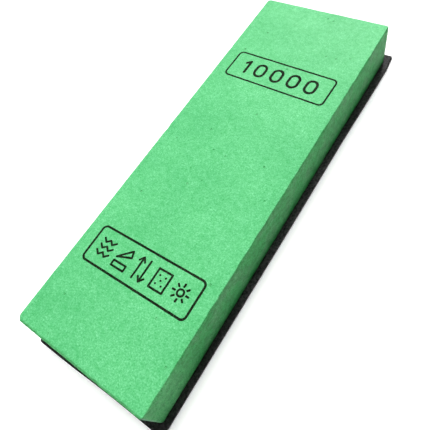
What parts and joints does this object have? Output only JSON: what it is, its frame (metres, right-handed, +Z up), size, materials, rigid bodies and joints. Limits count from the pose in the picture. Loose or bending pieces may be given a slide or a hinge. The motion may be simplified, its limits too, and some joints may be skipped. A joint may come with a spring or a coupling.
{
  "type": "sharpening whetstone",
  "caption": "Pale green cast abrasive bench stone with bevelled edges and inked labels on its working face, lying loose on a thin black rubber non-slip mat that it lifts off.",
  "frame": {"origin": "centre of the mat's underside, which rests on the bench", "axes": "+X across the stone's width, +Y along its length from the care-mark label to the grit-number label, +Z up out of the working face"},
  "size_m": [0.0662, 0.1884, 0.0215],
  "materials": {
    "green_abrasive": "matte",
    "black_rubber": "matte",
    "label_ink": "matte"
  },
  "bodies": {
    "mat": {"non_slip_mat": "black_rubber"},
    "stone": {"stone_block": "green_abrasive", "far_label_frame": "label_ink", "far_label_numerals": "label_ink", "near_label_frame": "label_ink", "near_label_marks": "label_ink"}
  },
  "joints": [
    {"name": "stone_lift", "type": "slide", "parent": "mat", "child": "stone", "axis": [0, 0, 1], "range_m": [0, 0.04]}
  ]
}
